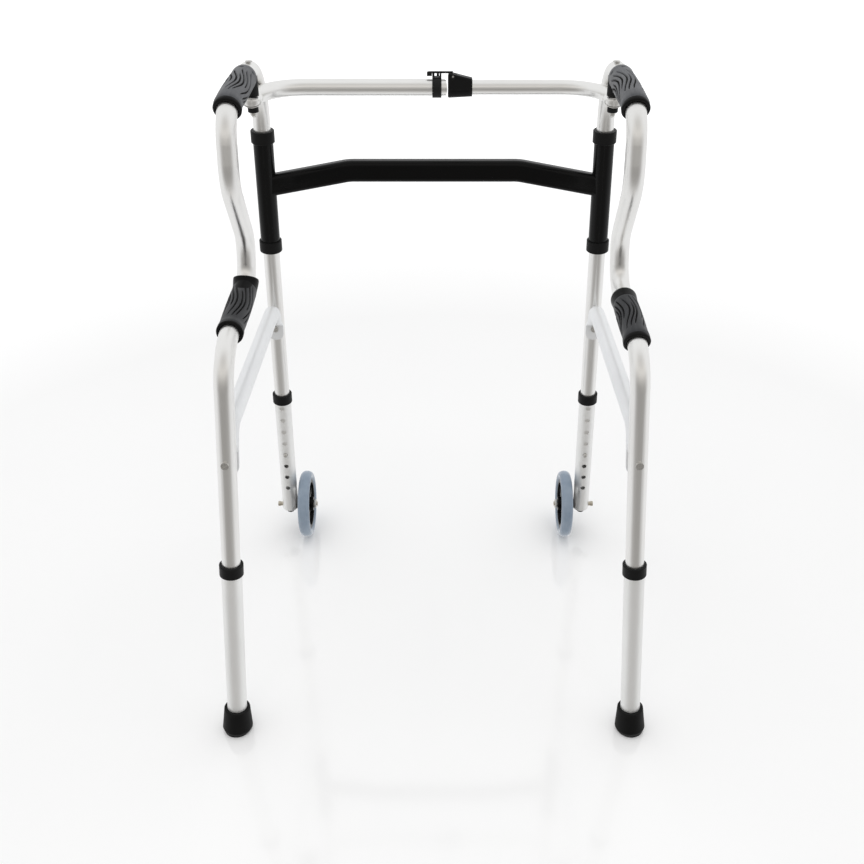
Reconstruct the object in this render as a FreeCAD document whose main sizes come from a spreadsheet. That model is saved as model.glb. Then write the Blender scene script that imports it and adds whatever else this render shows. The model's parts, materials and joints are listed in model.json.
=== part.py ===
"""Folding walking frame with two grip levels per side and two front wheels.

Millimetres, +Z up, +Y forward (towards the wheels), +X to the user's right. The origin is on the floor in
the middle of the footprint. Each side frame is one bent tube that turns about its own front leg inside a
sleeve of the black cross brace. A top bar in two halves, latched in the middle, holds the sides open.
"""
import FreeCAD, Part
import Sketcher
import os
from math import asin, cos, radians, sin, tan
from FreeCAD import Placement, Rotation, Vector

doc = FreeCAD.newDocument("WalkingFrame")

# ---------------------------------------------------------------- driving dimensions
size = {
    # side frame tube
    "tube_r": 12.7,
    "tube_wall": 1.3,
    "handle_height": 881.5,
    "front_bend_r": 99.0,
    "upper_rear_bend_r": 44.0,
    "post_bend_r": 60.0,
    "lower_front_bend_r": 34.0,
    "lower_rear_bend_r": 55.0,
    # footprint: half widths at the floor, and the distance from tip to axle line
    "rear_half_width": 296.0,
    "front_half_width": 277.2,
    "leg_depth": 496.3,
    "centre_y": 267.2,
    # telescopic leg extensions
    "ext_r": 14.3,
    "ext_bore_r": 12.95,
    "hole_pitch": 25.4,
    "hole_r": 4.1,
    "hole_count": 8,
    "ext_front_low": 56.0,
    "ext_rear_low": 14.0,
    "ext_top": 306.5,
    "frame_low": 164.0,
    "rear_frame_low": 150.0,
    "button_height": 187.0,
    "rear_button_height": 163.0,
    "button_r": 3.8,
    "button_flange_r": 5.4,
    "button_reach": 17.6,
    "collar_r": 16.6,
    "collar_bore_r": 12.85,
    "collar_length": 17.5,
    "collar_lip": 6.0,
    "collar_socket_r": 14.4,
    # rubber tips
    "tip_base_r": 22.2,
    "tip_neck_r": 19.0,
    "tip_sole_r": 19.5,
    "tip_length": 42.5,
    "tip_floor": 13.5,
    "tip_socket_r": 14.4,
    # wheels
    "wheel_r": 62.5,
    "tyre_inner_r": 46.0,
    "tyre_depth": 16.5,
    "tyre_half": 10.8,
    "rim_half": 8.0,
    "hub_r": 13.0,
    "hub_half": 12.5,
    "bush_r": 7.0,
    "axle_r": 4.0,
    "axle_bore_r": 4.05,
    "wheel_offset": 31.8,
    "spoke_count": 5,
    "axle_head_r": 4.8,
    "axle_head": 4.0,
    "axle_nut_r": 8.6,
    "axle_nut": 4.6,
    "spacer_r": 10.5,
    "axle_out": 22.5,
    # grips
    "grip_r": 16.6,
    "grip_bore_r": 12.85,
    "grip_ring_r": 17.5,
    "grip_ring": 9.0,
    "upper_grip_start": 321.0,
    "upper_grip_length": 152.0,
    # side brace
    "brace_r": 12.0,
    "brace_wall": 1.2,
    "brace_height": 490.0,
    "brace_bend_r": 20.0,
    "brace_tongue": 5.0,
    "bolt_r": 2.9,
    "bolt_head_r": 5.2,
    "bolt_head": 3.0,
    # cross brace and its sleeves
    "sleeve_r": 15.0,
    "sleeve_bore_r": 13.4,
    "sleeve_low": 586.5,
    "sleeve_high": 774.8,
    "bush_cap_r": 17.6,
    "bush_cap": 18.5,
    "bush_end": 2.5,
    "cross_height": 33.0,
    "cross_depth": 22.0,
    "cross_wall": 1.5,
    "cross_end_z": 691.0,
    "cross_rise": 24.0,
    "cross_bend_x": 129.0,
    "cross_bend_r": 90.0,
    "cross_corner_r": 7.0,
    # top bar
    "bar_r": 11.6,
    "bar_wall": 1.2,
    "bar_right_r": 10.1,
    "bar_z": 843.0,
    "bar_pivot_x": 246.0,
    "bar_pivot_y": 345.0,
    "bar_y": 425.0,
    "bar_bend_r": 64.0,
    "bar_tail": 12.0,
    "pivot_bolt_r": 3.0,
    "pivot_pad_r": 7.4,
    "pivot_pad": 8.0,
    "bar_flat": 13.4,
    "bar_flat_width": 28.0,
    "bar_flat_from": 9.8,
    "bar_round_from": 15.8,
    "saddle_r": 9.6,
    # centre latch
    "ring_r": 14.4,
    "ring_from": -1.4,
    "ring_width": 13.0,
    "housing_r": 14.4,
    "housing_end_r": 12.6,
    "lug_top": 19.2,
    "housing_top": 21.2,
    "housing_half_top": 9.0,
    "housing_corner": 4.0,
    "notch_width": 5.4,
    "lever_pin_x": 28.0,
    "lever_pin_above": 16.0,
    "lever_pin_r": 1.5,
    "lever_bore_r": 1.55,
    "lever_pin_length": 15.0,
    "lever_width": 4.4,
    "lever_low": 19.6,
    "lever_high": 21.8,
    "lever_neck_low": 14.6,
    "housing_from": 20.8,
    "housing_to": 55.5,
}
sheet = doc.addObject("Spreadsheet::Sheet", "Sizes")
for row, (alias, value) in enumerate(size.items(), start=1):
    sheet.set(f"A{row}", alias)
    sheet.set(f"B{row}", str(value))
    sheet.setAlias(f"B{row}", alias)
doc.recompute()

subparts = {}
SIDES = {"left": -1, "right": 1}
Z_AXIS = Vector(0, 0, 1)


def bound(alias):
    """Expression that reads one cell of the sheet."""
    return "Sizes." + alias


def add_subpart(node, obj):
    obj.Label = node
    subparts[node] = obj
    return obj


def at(side, x, y, z):
    """Point given by its outward X, its Y ahead of the rear tips and its height."""
    return Vector(side * x, y - size["centre_y"], z)


# ---------------------------------------------------------------- building blocks
def cylinder(name, radius, length, base, direction):
    """Part::Cylinder on an axis; radius is an alias, length an alias or a number."""
    obj = doc.addObject("Part::Cylinder", name)
    if isinstance(radius, str):
        obj.setExpression("Radius", bound(radius))
    else:
        obj.Radius = radius
    if isinstance(length, str):
        obj.setExpression("Height", bound(length))
    else:
        obj.Height = length
    obj.Placement = Placement(base, Rotation(Z_AXIS, direction))
    return obj


def block(name, length, width, height, centre, rotation=None):
    """Part::Box centred on a point."""
    obj = doc.addObject("Part::Box", name)
    obj.Length, obj.Width, obj.Height = length, width, height
    turn = rotation or Rotation()
    obj.Placement = Placement(centre - turn.multVec(Vector(length, width, height) * 0.5), turn)
    return obj


def fused(name, shapes):
    obj = doc.addObject("Part::MultiFuse", name)
    obj.Shapes = shapes
    return obj


def cut(name, base, tools):
    obj = doc.addObject("Part::Cut", name)
    obj.Base = base
    obj.Tool = tools[0] if len(tools) == 1 else fused(name + "Tools", tools)
    return obj


def solid_feature(name, shape):
    """Part::Feature for a swept or lofted solid that has no parametric primitive."""
    obj = doc.addObject("Part::Feature", name)
    obj.Shape = shape
    return obj


def origin_plane(body, role):
    return next(f for f in body.Origin.OriginFeatures if f.Role == role)


def turned_body(name, profile, base, direction):
    """PartDesign::Body turned about its own Z axis; profile loops through (radius, height) pairs."""
    body = doc.addObject("PartDesign::Body", name)
    sketch = body.newObject("Sketcher::SketchObject", name + "Profile")
    sketch.AttachmentSupport = (origin_plane(body, "XZ_Plane"), [""])
    sketch.MapMode = "FlatFace"
    value = [[size[c] if isinstance(c, str) else c for c in corner] for corner in profile]
    count = len(profile)
    for i in range(count):
        start, end = value[i], value[(i + 1) % count]
        sketch.addGeometry(Part.LineSegment(Vector(*start, 0), Vector(*end, 0)), False)
    for i in range(count):
        sketch.addConstraint(Sketcher.Constraint("Coincident", i, 2, (i + 1) % count, 1))
    for i, corner in enumerate(profile):
        for kind, term, number in zip(("DistanceX", "DistanceY"), corner, value[i]):
            index = sketch.addConstraint(Sketcher.Constraint(kind, -1, 1, i, 1, float(number)))
            if isinstance(term, str):
                sketch.setExpression(f"Constraints[{index}]", bound(term))
    turned = body.newObject("PartDesign::Revolution", name + "Turned")
    turned.Profile = sketch
    turned.ReferenceAxis = (sketch, ["V_Axis"])
    turned.Angle = 360.0
    body.Placement = Placement(base, Rotation(Z_AXIS, direction))
    return body


def path_edges(corners, radii):
    """Straight runs joined by tangent arcs, one radius for each inner corner."""
    edges = []
    start = corners[0]
    for i, radius in enumerate(radii, start=1):
        corner = corners[i]
        back = (corners[i - 1] - corner).normalize()
        ahead = (corners[i + 1] - corner).normalize()
        half_angle = back.getAngle(ahead) / 2
        setback = radius / tan(half_angle)
        first, last = corner + back * setback, corner + ahead * setback
        bisector = (back + ahead).normalize()
        middle = corner + bisector * (radius / sin(half_angle) - radius)
        edges.append(Part.LineSegment(start, first).toShape())
        edges.append(Part.Arc(first, middle, last).toShape())
        start = last
    edges.append(Part.LineSegment(start, corners[-1]).toShape())
    return edges


def stretch(edges, begin, end):
    """The part of a path between two distances along it."""
    result = []
    done = 0.0
    for edge in edges:
        low, high = max(begin - done, 0.0), min(end - done, edge.Length)
        if high - low > 0.01:
            first, last = edge.getParameterByLength(low), edge.getParameterByLength(high)
            result.append(edge.Curve.toShape(first, last))
        done += edge.Length
    return result


def pipe(edges, radius):
    """Solid round bar along a path."""
    first = edges[0]
    tangent = first.tangentAt(first.FirstParameter)
    circle = Part.Wire(Part.makeCircle(radius, first.valueAt(first.FirstParameter), tangent))
    return Part.Wire(edges).makePipeShell([circle], True, False)


def bent_tube(edges, outer, inner):
    return pipe(edges, outer).cut(pipe(edges, inner))


def drill(shape, point, direction, radius, length):
    """Cut a hole centred on a point."""
    axis = Vector(direction).normalize()
    return shape.cut(Part.makeCylinder(radius, length, point - axis * (length / 2), axis))


# ---------------------------------------------------------------- leg axes
HANDLE = size["handle_height"]
UPPER_REAR = 152.0
FRAME_CORNERS = (
    (size["front_half_width"], size["leg_depth"], 0.0),
    (251.2, 438.0, HANDLE),
    (244.5, UPPER_REAR, HANDLE - 3.0),
    (246.5, 143.0, 789.0),
    (252.5, 232.0, 689.0),
    (256.5, 232.0, 624.0),
    (258.0, 46.0, 610.0),
    (size["rear_half_width"], 0.0, 0.0),
)


BEND_ORDER = ("front_bend_r", "upper_rear_bend_r", "post_bend_r", "post_bend_r", "lower_front_bend_r",
              "lower_rear_bend_r")


def leg_line(side, which):
    """Foot and unit direction (upwards) of a front or rear leg axis."""
    foot, head = (0, 1) if which == "front" else (-1, -2)
    base = at(side, *FRAME_CORNERS[foot])
    return base, (at(side, *FRAME_CORNERS[head]) - base).normalize()


def on_leg(side, which, height):
    """Point of a leg axis at a height."""
    base, up = leg_line(side, which)
    return base + up * (height / up.z)


def handle_x(y):
    """Outward X of the straight upper handle at a distance ahead of the rear tips."""
    front, rear = FRAME_CORNERS[1], FRAME_CORNERS[2]
    return front[0] + (rear[0] - front[0]) * (front[1] - y) / (front[1] - rear[1])


def across(up, towards):
    """Unit vector square to a leg, nearest to a given direction."""
    return (towards - up * towards.dot(up)).normalize()


# ---------------------------------------------------------------- side frame
def frame_path(side):
    corners = [at(side, *c) for c in FRAME_CORNERS]
    corners[0] = on_leg(side, "front", size["frame_low"])
    corners[-1] = on_leg(side, "rear", size["rear_frame_low"])
    bends = [size[key] for key in BEND_ORDER]
    return path_edges(corners, bends)


def length_to(edges, plane_y, low_z):
    """Distance along the path to where it first passes a Y plane above a height, going rearwards."""
    done = 0.0
    for edge in edges:
        steps = 200
        for k in range(steps + 1):
            travelled = edge.Length * k / steps
            point = edge.valueAt(edge.getParameterByLength(travelled))
            if point.y <= plane_y and point.z > low_z:
                return done + travelled
        done += edge.Length
    return done


LOWER_GRIP_END = {"left": -2.0, "right": 19.0}
LOWER_GRIP_LENGTH = {"left": 134.0, "right": 116.0}
BOLT_HEIGHTS = {"front": 451.0, "rear": 460.0}
TONGUE_BELOW_BOLT = {"front": 8.0, "rear": 16.0}
BRACE_HEIGHTS = {"front": size["brace_height"], "rear": size["brace_height"] + 8.0}
REARWARD = Vector(0, -1, 0)
FORWARD = Vector(0, 1, 0)
LEG_FACE = {"front": REARWARD, "rear": FORWARD}
BUTTON_HEIGHT = {"front": size["button_height"], "rear": size["rear_button_height"]}
EXT_LOW = {"front": size["ext_front_low"], "rear": size["ext_rear_low"]}
EXT_TOP = {"front": size["ext_top"], "rear": size["ext_top"] - 14.0}


def make_frame_tube(name, side, edges):
    wall = size["tube_r"] - size["tube_wall"]
    shape = bent_tube(edges, size["tube_r"], wall)
    for which in ("front", "rear"):
        up = leg_line(side, which)[1]
        face = across(up, LEG_FACE[which])
        button = on_leg(side, which, BUTTON_HEIGHT[which]) + face * size["tube_r"]
        shape = drill(shape, button, face, size["hole_r"], 12.0)
        bolt = on_leg(side, which, BOLT_HEIGHTS[which])
        shape = drill(shape, bolt, face, size["bolt_r"] + 0.15, 40.0)
    pivot = at(side, size["bar_pivot_x"], size["bar_pivot_y"], HANDLE)
    shape = drill(shape, pivot, Z_AXIS, size["pivot_bolt_r"] + 0.15, 60.0)
    add_subpart("frame_tube_" + name, solid_feature("FrameTube" + name, shape))


def make_grip(node, edges, begin, end):
    """Soft sleeve that follows the handle, with a raised ring at each end."""
    ring = size["grip_ring"]
    shape = pipe(stretch(edges, begin, end), size["grip_r"])
    for low, high in ((begin, begin + ring), (end - ring, end)):
        shape = shape.fuse(pipe(stretch(edges, low, high), size["grip_ring_r"]))
    shape = shape.cut(pipe(stretch(edges, begin - 2, end + 2), size["grip_bore_r"]))
    add_subpart(node, solid_feature(node.title().replace("_", ""), shape))


def flattened_end(side, which, start, tail):
    """Loft from the round brace tube down to its flat tongue against the leg."""
    up = leg_line(side, which)[1]
    face = across(up, LEG_FACE[which])
    sideways = up.cross(face)
    round_end = Part.Wire(Part.makeCircle(size["brace_r"], start, up))
    half_width, half_thick = size["brace_r"] + 1.0, size["brace_tongue"] / 2
    corners = []
    for a, b in ((1, 1), (-1, 1), (-1, -1), (1, -1)):
        corners.append(tail + sideways * (a * half_width) + face * (b * half_thick))
    flat_end = Part.makePolygon(corners + corners[:1])
    loft = Part.makeLoft([round_end, flat_end], True, True)
    bolt_point = on_leg(side, which, BOLT_HEIGHTS[which])
    tail_depth = (tail - on_leg(side, which, tail.z)).dot(face)
    tongue_low = bolt_point + face * tail_depth - up * TONGUE_BELOW_BOLT[which]
    length = (tail - tongue_low).dot(up)
    slab = Part.Face(flat_end).extrude(up * -length)
    foot = Part.makeCylinder(half_width, size["brace_tongue"], tongue_low - face * half_thick, face)
    return loft.fuse(slab).fuse(foot)


def make_side_brace(name, side):
    """Tube that bridges the two legs level with the thigh, its ends turned down and pressed flat."""
    gap = size["tube_r"] + size["brace_r"] + 0.3
    flat_gap = size["tube_r"] + size["brace_tongue"] / 2 + 0.3
    corners, tails = [], {}
    for which in ("rear", "front"):
        up = leg_line(side, which)[1]
        face = across(up, LEG_FACE[which])
        top = on_leg(side, which, BRACE_HEIGHTS[which]) + face * gap
        low = on_leg(side, which, BRACE_HEIGHTS[which] - size["brace_bend_r"] - 2.0) + face * gap
        tails[which] = (low, on_leg(side, which, BOLT_HEIGHTS[which] + 6.2) + face * flat_gap)
        corners += [low, top] if which == "rear" else [top, low]
    edges = path_edges(corners, [size["brace_bend_r"]] * 2)
    shape = pipe(edges, size["brace_r"])
    for which, (low, tail) in tails.items():
        shape = shape.fuse(flattened_end(side, which, low, tail))
    shape = shape.cut(pipe(edges, size["brace_r"] - size["brace_wall"]))
    for which in ("front", "rear"):
        face = across(leg_line(side, which)[1], LEG_FACE[which])
        shape = drill(shape, on_leg(side, which, BOLT_HEIGHTS[which]), face, size["bolt_r"] + 0.15, 60.0)
    add_subpart("side_brace_" + name, solid_feature("SideBrace" + name, shape.removeSplitter()))


def make_brace_bolts(name, side):
    """Two bolts, one through each leg and its tongue, with a domed head and a nut."""
    parts = []
    for which in ("front", "rear"):
        face = across(leg_line(side, which)[1], LEG_FACE[which])
        centre = on_leg(side, which, BOLT_HEIGHTS[which])
        inner = size["tube_r"] + size["brace_tongue"] + 0.6
        outer = size["tube_r"] + 0.2
        head = size["bolt_head"]
        label = "Bolt" + name + which
        shank = cylinder(label + "Shank", "bolt_r", inner + outer + 2.0, centre - face * (outer + 1.0), face)
        cap = cylinder(label + "Head", "bolt_head_r", head, centre - face * (outer + head), face)
        nut = cylinder(label + "Nut", "bolt_head_r", head, centre + face * inner, face)
        parts.append(fused(label, [shank, cap, nut]))
    group = doc.addObject("Part::Compound", "BraceBolts" + name)
    group.Links = parts
    add_subpart("brace_bolts_" + name, group)


def make_button_springs(name, side):
    """Leaf springs inside the leg tubes that push the snap buttons out."""
    leaves = []
    for which in ("front", "rear"):
        up = leg_line(side, which)[1]
        face = across(up, LEG_FACE[which])
        centre = on_leg(side, which, BUTTON_HEIGHT[which])
        depth = size["tube_r"] - size["tube_wall"]
        turn = Rotation(face, up.cross(face), up, "XZY")
        near = block(f"LeafNear{name}{which}", 1.0, 7.0, 30.0, centre + face * 1.0 + up * 16.0, turn)
        far = block(f"LeafFar{name}{which}", 1.0, 7.0, 30.0, centre - face * (depth - 1.5) + up * 16.0, turn)
        bridge = block(f"LeafTop{name}{which}", depth + 0.5, 7.0, 1.0,
                       centre + face * (1.75 - depth / 2) + up * 31.5, turn)
        leaves.append(fused(f"Leaf{name}{which}", [near, far, bridge]))
    group = doc.addObject("Part::Compound", "ButtonSprings" + name)
    group.Links = leaves
    add_subpart("button_springs_" + name, group)


def make_bar_pivot(name, side):
    """Plastic saddle and foot that hold the bar's flattened end under the handle, on a vertical bolt."""
    x, y, z = size["bar_pivot_x"], size["bar_pivot_y"], size["bar_z"]
    bore_r = size["pivot_bolt_r"] + 0.15
    gap = 0.4
    handle_z = HANDLE - 0.6
    saddle_low = z + size["bar_flat"] / 2 + gap
    saddle_height = handle_z - 4.0 - saddle_low
    saddle = cylinder("Saddle" + name, "saddle_r", saddle_height, at(side, x, y, saddle_low), Z_AXIS)
    axis_point = at(side, handle_x(y), y, handle_z - 1.6)
    groove_start = axis_point - Vector(0, 40, 0)
    groove = cylinder("SaddleGroove" + name, size["tube_r"] + 0.1, 80.0, groove_start, FORWARD)
    bore = cylinder("SaddleBore" + name, bore_r, 60.0, at(side, x, y, z - 10), Z_AXIS)
    add_subpart("bar_saddle_" + name, cut("BarSaddle" + name, saddle, [groove, bore]))
    foot_low = z - size["bar_flat"] / 2 - gap - size["pivot_pad"]
    pad_r, edge = size["pivot_pad_r"], 0.8
    profile = ((bore_r, 0.0), (pad_r - edge, 0.0), (pad_r, edge), ("pivot_pad_r", "pivot_pad"),
               (bore_r, "pivot_pad"))
    foot = turned_body("BarFoot" + name, profile, at(side, x, y, foot_low), Z_AXIS)
    add_subpart("bar_foot_" + name, foot)
    nut_depth, head = 3.4, 1.6
    head_z = HANDLE + size["tube_r"] - 0.5
    shank = cylinder("PivotShank" + name, "pivot_bolt_r", head_z + 1.0 - foot_low + nut_depth,
                     at(side, x, y, foot_low - nut_depth), Z_AXIS)
    nut = cylinder("PivotNut" + name, 4.6, nut_depth, at(side, x, y, foot_low - nut_depth), Z_AXIS)
    dome = doc.addObject("Part::Sphere", "PivotDome" + name)
    dome.Radius = 3.8
    dome.Placement = Placement(at(side, x, y, foot_low - nut_depth), Rotation())
    cap = cylinder("PivotHead" + name, 4.8, head, at(side, x, y, head_z), Z_AXIS)
    add_subpart("bar_pivot_bolt_" + name, fused("BarPivotBolt" + name, [shank, nut, dome, cap]))


# ---------------------------------------------------------------- telescopic legs
def make_extension(name, side, which):
    up = leg_line(side, which)[1]
    face = across(up, LEG_FACE[which])
    low, high = on_leg(side, which, EXT_LOW[which]), on_leg(side, which, EXT_TOP[which])
    length = (high - low).Length
    label = "Ext" + name + which
    outer = cylinder(label + "Outer", "ext_r", length, low, up)
    bore = cylinder(label + "Bore", "ext_bore_r", length + 20.0, low - up * 10.0, up)
    tools = [bore]
    first = on_leg(side, which, BUTTON_HEIGHT[which]) + up * (size["hole_pitch"] * 4)
    for k in range(int(size["hole_count"])):
        point = first - up * (size["hole_pitch"] * k) + face * 5.0
        tools.append(cylinder(f"{label}Hole{k}", "hole_r", 20.0, point, face))
    if which == "front":
        axle = on_leg(side, which, size["wheel_r"]) - Vector(40, 0, 0)
        tools.append(cylinder(label + "Axle", "axle_bore_r", 80.0, axle, Vector(1, 0, 0)))
    add_subpart(f"{which}_extension_{name}", cut(label, outer, tools))
    top, lip, outside, edge = size["collar_length"], size["collar_lip"], size["collar_r"], 0.9
    profile = (("collar_bore_r", top), (outside - edge, top), (outside, top - edge), ("collar_r", edge),
               (outside - edge, 0.0), ("collar_socket_r", 0.0), ("collar_socket_r", top - lip),
               ("collar_bore_r", top - lip))
    collar_base = high - up * (top - lip - 0.3)
    add_subpart(f"{which}_collar_{name}", turned_body("Collar" + name + which, profile, collar_base, up))


def make_snap_button(name, side, which):
    """Domed pin on a flange, held in the leg tube and standing through both walls."""
    up = leg_line(side, which)[1]
    face = across(up, LEG_FACE[which])
    centre = on_leg(side, which, BUTTON_HEIGHT[which])
    profile = ((0.0, 2.0), ("button_flange_r", 2.0), ("button_flange_r", 5.0), ("button_r", 5.0),
               ("button_r", 16.6), (2.6, "button_reach"), (0.0, "button_reach"))
    add_subpart(f"snap_button_{which}_{name}", turned_body("Snap" + name + which, profile, centre, face))


def make_rubber_tip(name, side):
    """Conical rubber foot over the extension's end, flat to the floor, with a rounded lower edge."""
    base, up = leg_line(side, "rear")
    wide, edge, top = size["tip_base_r"], 1.2, size["tip_length"]
    profile = ((0.0, -6.0), ("tip_sole_r", -6.0), ("tip_sole_r", 0.4), (wide - edge, 3.0), (wide, 6.5),
               ("tip_neck_r", top - edge), (size["tip_neck_r"] - edge, top), ("tip_socket_r", "tip_length"),
               ("tip_socket_r", "tip_floor"), (0.0, "tip_floor"))
    raw = turned_body("TipRaw" + name, profile, base, up)
    floor = block("TipFloor" + name, 90.0, 90.0, 40.0, Vector(base.x, base.y, -20.0))
    add_subpart("rubber_tip_" + name, cut("RubberTip" + name, raw, [floor]))


# ---------------------------------------------------------------- wheels
def make_wheel(name, side):
    centre = on_leg(side, "front", size["wheel_r"]) - Vector(side * size["wheel_offset"], 0, 0)
    x_axis = Vector(1, 0, 0)
    half, outer, inner = size["tyre_half"], size["wheel_r"], size["tyre_inner_r"]
    middle_r, depth = outer - size["tyre_depth"] / 2, size["tyre_depth"] / 2
    profile = [(inner, half * 1.55), (inner, half * 0.45)]
    for turn in range(-150, 151, 25):
        profile.append((middle_r + depth * cos(radians(turn)), half + half * sin(radians(turn))))
    tyre = turned_body("Tyre" + name, profile, centre - x_axis * half, x_axis)
    add_subpart("tyre_" + name, tyre)
    hub_start = centre - x_axis * size["hub_half"]
    hub = cylinder("Hub" + name, "hub_r", 2 * size["hub_half"], hub_start, x_axis)
    rim_start = centre - x_axis * size["rim_half"]
    hoop_in = inner - 5.5
    hoop = cut("Hoop" + name,
               cylinder("HoopOuter" + name, inner - 0.1, 2 * size["rim_half"], rim_start, x_axis),
               [cylinder("HoopInner" + name, hoop_in, 40.0, centre - x_axis * 20.0, x_axis)])
    spokes = []
    for k in range(int(size["spoke_count"])):
        turn = Rotation(x_axis, 360.0 * k / size["spoke_count"])
        reach = (size["hub_r"] + hoop_in) / 2
        spokes.append(block(f"Spoke{name}{k}", 9.0, 9.0, hoop_in - size["hub_r"] + 4.0,
                            centre + turn.multVec(Vector(0, 0, reach)), turn))
    web = fused("Web" + name, [hub, hoop] + spokes)
    bore = cylinder("HubBore" + name, "bush_r", 60.0, centre - x_axis * 30.0, x_axis)
    add_subpart("wheel_rim_" + name, cut("Rim" + name, web, [bore]))
    bush_length = 2 * size["hub_half"] + 1.0
    bush_start = centre - x_axis * (bush_length / 2)
    bush = cylinder("Bush" + name, size["bush_r"] - 0.02, bush_length, bush_start, x_axis)
    bush_bore = cylinder("BushBore" + name, "axle_bore_r", 60.0, centre - x_axis * 30.0, x_axis)
    add_subpart("wheel_bush_" + name, cut("WheelBush" + name, bush, [bush_bore]))


def make_axle(name, side):
    """Bolt through the leg and the wheel, its nut, the spacer between them and the plug in the leg's end."""
    inward = Vector(-side, 0, 0)
    leg = on_leg(side, "front", size["wheel_r"])
    start = leg - inward * (size["axle_out"] - size["axle_head"])
    nut_from = leg + inward * (size["wheel_offset"] + size["hub_half"] + 0.9)
    length = (nut_from - start).dot(inward) + size["axle_nut"] + 1.6
    shank = cylinder("AxleShank" + name, "axle_r", length, start, inward)
    head = cylinder("AxleHead" + name, "axle_head_r", "axle_head", start - inward * size["axle_head"], inward)
    add_subpart("axle_bolt_" + name, fused("AxleBolt" + name, [shank, head]))
    edge, wide, deep = 1.2, size["axle_nut_r"], size["axle_nut"]
    profile = (("axle_bore_r", 0.0), ("axle_nut_r", 0.0), ("axle_nut_r", deep - edge), (wide - edge, deep),
               ("axle_bore_r", "axle_nut"))
    add_subpart("axle_nut_" + name, turned_body("AxleNut" + name, profile, nut_from, inward))
    gap = 0.5
    spacer_length = size["wheel_offset"] - size["hub_half"] - size["ext_r"] - 2 * gap
    spacer_from = leg + inward * (size["ext_r"] + gap)
    spacer = cylinder("Spacer" + name, "spacer_r", spacer_length, spacer_from, inward)
    spacer_bore = cylinder("SpacerBore" + name, "axle_bore_r", 30.0, leg + inward * 5.0, inward)
    add_subpart("axle_spacer_" + name, cut("AxleSpacer" + name, spacer, [spacer_bore]))
    up = leg_line(side, "front")[1]
    low = on_leg(side, "front", EXT_LOW["front"])
    button_r, inside_r = 7.5, size["ext_bore_r"] - 0.25
    outline = ((0.0, -3.0), (button_r - 1.0, -3.0), (button_r, -2.0), (button_r, 0.0),
               (inside_r, 0.0), (inside_r, 2.0), (0.0, 2.0))
    plug = turned_body("EndPlug" + name, outline, low, up)
    add_subpart("end_plug_" + name, plug)


# ---------------------------------------------------------------- cross brace
def make_sleeve(name, side):
    up = leg_line(side, "front")[1]
    low, high = on_leg(side, "front", size["sleeve_low"]), on_leg(side, "front", size["sleeve_high"])
    length = (high - low).Length
    outer = cylinder("SleeveOuter" + name, "sleeve_r", length, low, up)
    bore = cylinder("SleeveBore" + name, "sleeve_bore_r", length + 10.0, low - up * 5.0, up)
    add_subpart("pivot_sleeve_" + name, cut("Sleeve" + name, outer, [bore]))
    cap, end, wide, edge = size["bush_cap"], size["bush_end"], size["bush_cap_r"], 0.9
    inside, slot, skirt = size["tube_r"] + 0.08, size["sleeve_bore_r"] - 0.1, size["sleeve_r"] + 0.1
    profile = ((inside, 0.0), (wide - edge, 0.0), (wide, edge), (wide, cap - edge), (wide - edge, cap),
               (skirt, cap), (skirt, end), (slot, end), (slot, cap), (inside, cap))
    lower = turned_body("BushLow" + name, profile, low - up * end, up)
    add_subpart("sleeve_bush_lower_" + name, lower)
    upper = turned_body("BushHigh" + name, profile, high + up * end, up * -1)
    add_subpart("sleeve_bush_upper_" + name, upper)


def rounded_section(centre, half_high, half_deep, corner):
    """Rounded rectangle in the YZ plane."""
    flat_y, flat_z = half_deep - corner, half_high - corner
    bulge = corner * cos(radians(45))
    arcs = []
    for a, b in ((1, 1), (-1, 1), (-1, -1), (1, -1)):
        side_point = centre + Vector(0, a * half_deep, b * flat_z)
        middle = centre + Vector(0, a * (flat_y + bulge), b * (flat_z + bulge))
        end_point = centre + Vector(0, a * flat_y, b * half_high)
        ends = (side_point, end_point) if a * b > 0 else (end_point, side_point)
        arcs.append(Part.Arc(ends[0], middle, ends[1]))
    edges = []
    for arc, following in zip(arcs, arcs[1:] + arcs[:1]):
        edges += [arc.toShape(), Part.LineSegment(arc.EndPoint, following.StartPoint).toShape()]
    return Part.Wire(edges)


def make_cross_brace():
    """Black rounded rectangular tube, raised in the middle, welded between the two sleeves."""
    end_z, mid_z = size["cross_end_z"], size["cross_end_z"] + size["cross_rise"]
    end = on_leg(1, "front", end_z)
    y = end.y
    corners = [Vector(-end.x, y, end_z), Vector(-size["cross_bend_x"], y, mid_z),
               Vector(size["cross_bend_x"], y, mid_z), Vector(end.x, y, end_z)]
    path = Part.Wire(path_edges(corners, [size["cross_bend_r"]] * 2))

    def beam(inset):
        half_high, half_deep = size["cross_height"] / 2 - inset, size["cross_depth"] / 2 - inset
        section = rounded_section(corners[0], half_high, half_deep,
                                  size["cross_corner_r"] - inset)
        return path.makePipeShell([section], True, False)

    shape = beam(0.0).cut(beam(size["cross_wall"]))
    for side in SIDES.values():
        base, up = leg_line(side, "front")
        shape = shape.cut(Part.makeCylinder(size["sleeve_r"] + 0.02, 900.0, base, up))
    largest = max(shape.Solids, key=lambda part: part.Volume)
    add_subpart("cross_brace", solid_feature("CrossBrace", largest))


# ---------------------------------------------------------------- top bar
def bar_path(side, start_y, inner_x):
    x, y, z = size["bar_pivot_x"], size["bar_y"], size["bar_z"]
    return path_edges([at(side, x, start_y, z), at(side, x, y, z), Vector(inner_x, y - size["centre_y"], z)],
                      [size["bar_bend_r"]])


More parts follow.
